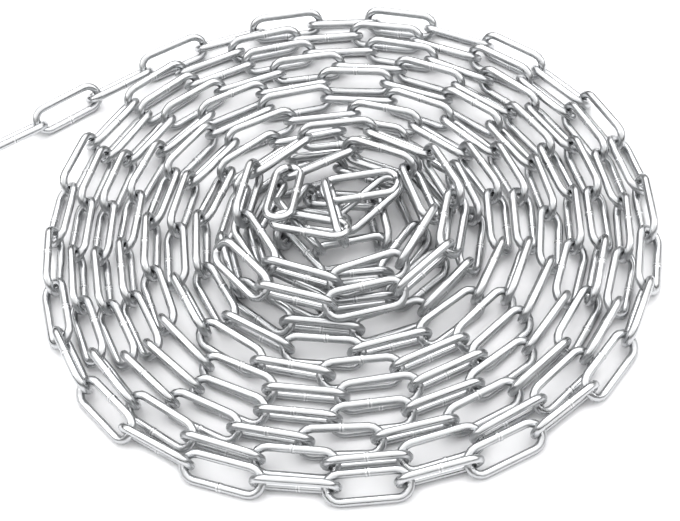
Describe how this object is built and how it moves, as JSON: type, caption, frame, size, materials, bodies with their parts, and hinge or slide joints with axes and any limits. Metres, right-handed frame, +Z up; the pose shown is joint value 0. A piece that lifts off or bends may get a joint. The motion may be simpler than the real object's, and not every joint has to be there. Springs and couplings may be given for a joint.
{
  "type": "heap of steel chain",
  "caption": "Heap of bright long-link steel chain laid in a flat spiral coil, with a tail running out at the side and its other end laid round on top of the middle.",
  "frame": {"origin": "on the floor, under the middle of the bounding box of the whole heap, tail included", "axes": "+X from the tail's far end towards the coil, +Y away from the viewer of the picture, +Z up"},
  "size_m": [0.4222, 0.2654, 0.0279],
  "materials": {
    "steel": "bright zinc plate, smooth"
  },
  "bodies": {
    "root": {"tail_end_link": "steel", "link_002": "steel", "link_003": "steel", "link_004": "steel", "links_005_to_007": "steel", "links_008_to_010": "steel", "link_011": "steel", "link_012": "steel", "links_013_to_017": "steel", "link_018": "steel", "link_019": "steel", "links_020_to_024": "steel", "link_025": "steel", "link_026": "steel", "links_027_to_031": "steel", "link_032": "steel", "link_033": "steel", "links_034_to_038": "steel", "links_039_to_043": "steel", "links_044_to_048": "steel", "links_049_to_053": "steel", "links_054_to_058": "steel", "links_059_to_063": "steel", "links_064_to_068": "steel", "links_069_to_073": "steel", "links_074_to_078": "steel", "links_079_to_083": "steel", "links_084_to_088": "steel", "links_089_to_093": "steel", "links_094_to_098": "steel", "links_099_to_103": "steel", "links_104_to_108": "steel", "links_109_to_113": "steel", "links_114_to_118": "steel", "links_119_to_123": "steel", "links_124_to_128": "steel", "links_129_to_133": "steel", "links_134_to_138": "steel", "links_139_to_143": "steel", "links_144_to_148": "steel", "links_149_to_153": "steel", "links_154_to_158": "steel", "links_159_to_163": "steel", "links_164_to_168": "steel", "links_169_to_173": "steel", "links_174_to_178": "steel", "links_179_to_183": "steel", "links_184_to_188": "steel", "links_189_to_200": "steel", "links_201_to_205": "steel", "links_206_to_209": "steel", "links_210_to_214": "steel"}
  },
  "joints": []
}
